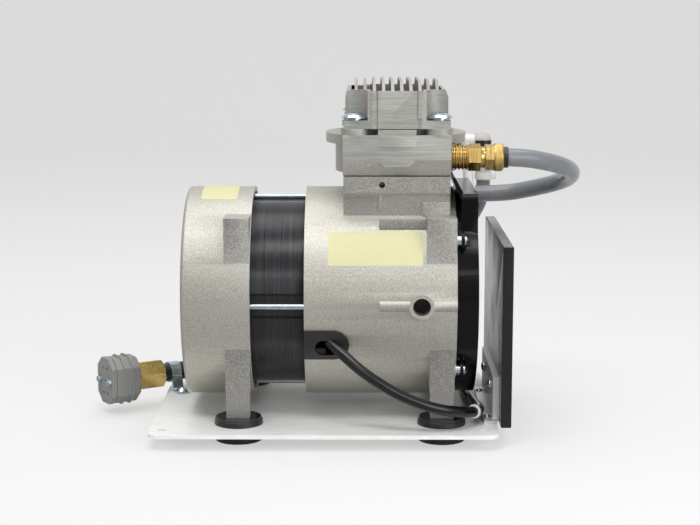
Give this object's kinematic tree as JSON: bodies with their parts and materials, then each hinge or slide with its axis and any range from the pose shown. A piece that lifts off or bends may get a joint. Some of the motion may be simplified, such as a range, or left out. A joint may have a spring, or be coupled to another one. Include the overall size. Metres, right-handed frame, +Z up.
{
  "type": "rocking piston vacuum pump",
  "caption": "Oil-free rocking piston vacuum pump with finned head, fan cowl, hoses and vent silencer, on a plate with rubber isolators.",
  "frame": {"origin": "centre of the base plate's four corner holes, on the plate's underside", "axes": "+X along the motor shaft towards the fan, +Y away from the front with the housing port, +Z up"},
  "size_m": [0.3924, 0.33, 0.272],
  "materials": {
    "plate_aluminium": "brushed sheet",
    "bracket_aluminium": "mill finish extrusion",
    "black_rubber": "matt moulded rubber",
    "zinc_steel": "bright zinc plated",
    "cast_grey": "fine textured grey coating on a casting",
    "lamination_steel": "black varnished laminations",
    "coil_copper": "varnished winding",
    "bearing_steel": "ground steel",
    "machined_aluminium": "cast and machined",
    "gasket_black": "gasket sheet",
    "cup_seal": "bronze filled seal",
    "reed_steel": "spring steel",
    "fitting_brass": "turned brass",
    "black_plastic": "moulded black",
    "hose_grey": "glossy grey tube",
    "tee_white": "white moulding",
    "elbow_beige": "beige moulding",
    "silencer_grey": "grey moulding",
    "lead_black": "smooth black sheath"
  },
  "bodies": {
    "frame": {"base_plate": "plate_aluminium", "panel_bracket": "bracket_aluminium", "rubber_isolators": "black_rubber", "power_grommet": "black_rubber", "hose_coupler": "black_rubber", "isolator_washers": "zinc_steel", "isolator_bolts": "zinc_steel", "through_bolts": "zinc_steel", "head_screws": "zinc_steel", "head_lock_washers": "zinc_steel", "cowl_screws": "zinc_steel", "cowl_spacers": "zinc_steel", "panel_screws": "zinc_steel", "bracket_screws": "zinc_steel", "hose_clip": "zinc_steel", "hose_clip_screw": "zinc_steel", "silencer_screws": "zinc_steel", "end_bell": "cast_grey", "crankcase": "cast_grey", "stator_core": "lamination_steel", "stator_coils": "coil_copper", "rear_bearing": "bearing_steel", "front_bearing": "bearing_steel", "cylinder_block": "machined_aluminium", "cylinder_head": "machined_aluminium", "valve_plate": "machined_aluminium", "cylinder_liner": "machined_aluminium", "cylinder_gasket": "gasket_black", "head_gasket": "gasket_black", "reed_clamps": "reed_steel", "hose_fitting_body": "fitting_brass", "hose_fitting_nut": "fitting_brass", "rear_pipe": "fitting_brass", "silencer_adapter": "fitting_brass", "hose_fitting_sleeve": "black_plastic", "fan_cowl": "black_plastic", "side_panel": "black_plastic", "power_plug": "black_plastic", "crossover_hose": "hose_grey", "transfer_hose": "hose_grey", "hose_tee": "tee_white", "elbow_collar": "tee_white", "port_elbow": "elbow_beige", "vent_silencer": "silencer_grey", "power_lead": "lead_black", "power_lead_coil": "lead_black"},
    "rotor": {"motor_shaft": "bearing_steel", "rotor_core": "lamination_steel", "eccentric": "bearing_steel", "eccentric_screw": "zinc_steel", "cooling_fan": "black_plastic", "fan_clip": "zinc_steel"},
    "rod": {"connecting_rod": "machined_aluminium", "rod_bearing": "bearing_steel", "piston_cup": "cup_seal", "piston_cap": "machined_aluminium", "piston_cap_screw": "zinc_steel"},
    "intake_leaf": {"intake_reed": "reed_steel"},
    "exhaust_leaf": {"exhaust_reed": "reed_steel"}
  },
  "joints": [
    {"name": "shaft_spin", "type": "hinge", "parent": "frame", "child": "rotor", "pos_m": [0, 0, 0.095], "axis": [1, 0, 0], "continuous": true},
    {"name": "crank_pin", "type": "hinge", "parent": "rotor", "child": "rod", "pos_m": [0.0555, 0, 0.089], "axis": [1, 0, 0], "continuous": true},
    {"name": "intake_valve", "type": "hinge", "parent": "frame", "child": "intake_leaf", "pos_m": [0.0415, -0.016, 0.2223], "axis": [1, 0, 0], "range_deg": [-4, 0], "stiffness_Nm_per_rad": 0.1},
    {"name": "exhaust_valve", "type": "hinge", "parent": "frame", "child": "exhaust_leaf", "pos_m": [0.0695, -0.016, 0.22706], "axis": [1, 0, 0], "range_deg": [0, 4], "stiffness_Nm_per_rad": 0.1}
  ],
  "couplings": [
    {"joint": "crank_pin", "follows": "shaft_spin", "ratio": -1}
  ]
}
